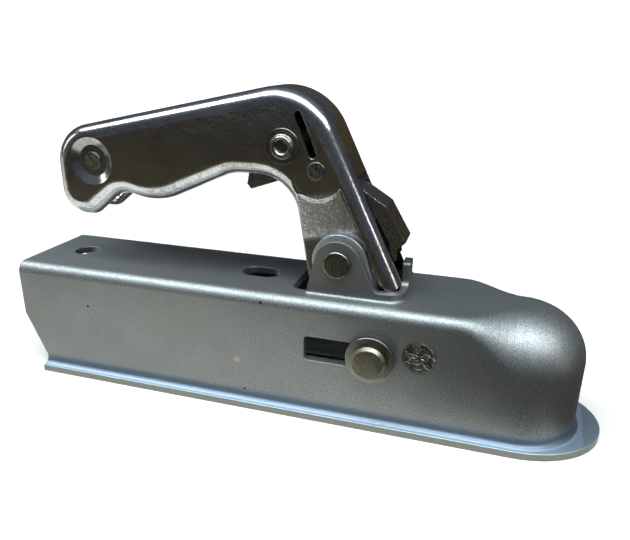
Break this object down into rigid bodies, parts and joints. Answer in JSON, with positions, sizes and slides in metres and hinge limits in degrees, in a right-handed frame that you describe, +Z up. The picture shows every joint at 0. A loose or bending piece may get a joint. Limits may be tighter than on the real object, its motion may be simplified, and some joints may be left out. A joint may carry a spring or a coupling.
{
  "type": "trailer coupling head",
  "caption": "Pressed-steel trailer coupling head for a ball, with a lifting handle, a safety catch and a sliding ball jaw, bolted onto a square drawbar.",
  "frame": {"origin": "centre of the ball seat", "axes": "+X to the nose along the drawbar, +Y to the left side, +Z up"},
  "size_m": [0.2944, 0.0708, 0.1519],
  "materials": {
    "body_zinc": "satin zinc plating on pressed steel",
    "handle_zinc": "bright zinc plating on pressed steel",
    "plate_zinc": "zinc plating",
    "pin_zinc": "zinc plating with a slight yellow tint",
    "rivet_steel": "rough peened steel",
    "catch_dark": "dull zinc plating",
    "spring_steel": "drawn spring wire",
    "jaw_iron": "forged or cast, plain"
  },
  "bodies": {
    "body": {"housing": "body_zinc", "pivot_pin": "pin_zinc", "pivot_bush": "pin_zinc", "pivot_spring": "spring_steel", "guide_rivet": "rivet_steel", "spacer_tube": "rivet_steel"},
    "handle": {"handle_shell": "handle_zinc", "drive_plate_left": "plate_zinc", "drive_plate_right": "plate_zinc", "drive_pin": "pin_zinc", "boss_rivet": "pin_zinc", "boss_spacer": "rivet_steel", "grip_rivet": "rivet_steel", "grip_spacer": "rivet_steel", "catch_rivet": "rivet_steel", "catch_spacer_left": "rivet_steel", "catch_spacer_right": "rivet_steel", "catch_spring": "spring_steel"},
    "catch": {"safety_catch": "catch_dark"},
    "jaw": {"coupling_jaw": "jaw_iron", "jaw_pin": "pin_zinc", "jaw_spacer_left": "rivet_steel", "jaw_spacer_right": "rivet_steel", "jaw_washer_left": "pin_zinc", "jaw_washer_right": "pin_zinc"}
  },
  "joints": [
    {"name": "handle_pivot", "type": "hinge", "parent": "body", "child": "handle", "pos_m": [-0.0842, 0, 0.0446], "axis": [0, 1, 0], "range_deg": [0, 60], "stiffness_Nm_per_rad": 2, "springref_deg": -34.38, "deforming": ["pivot_spring"]},
    {"name": "jaw_slide", "type": "slide", "parent": "body", "child": "jaw", "axis": [-1, 0, 0], "range_m": [0, 0.0252]},
    {"name": "catch_squeeze", "type": "hinge", "parent": "handle", "child": "catch", "pos_m": [-0.0958, 0, 0.0857], "axis": [0, 1, 0], "range_deg": [0, 12], "stiffness_Nm_per_rad": 0.2, "springref_deg": -28.65, "deforming": ["catch_spring"]}
  ],
  "couplings": [
    {"joint": "jaw_slide", "follows": "handle_pivot", "m_per_rad": 0.023969},
    {"joint": "catch_squeeze", "follows": "handle_pivot", "ratio": 0.2}
  ]
}
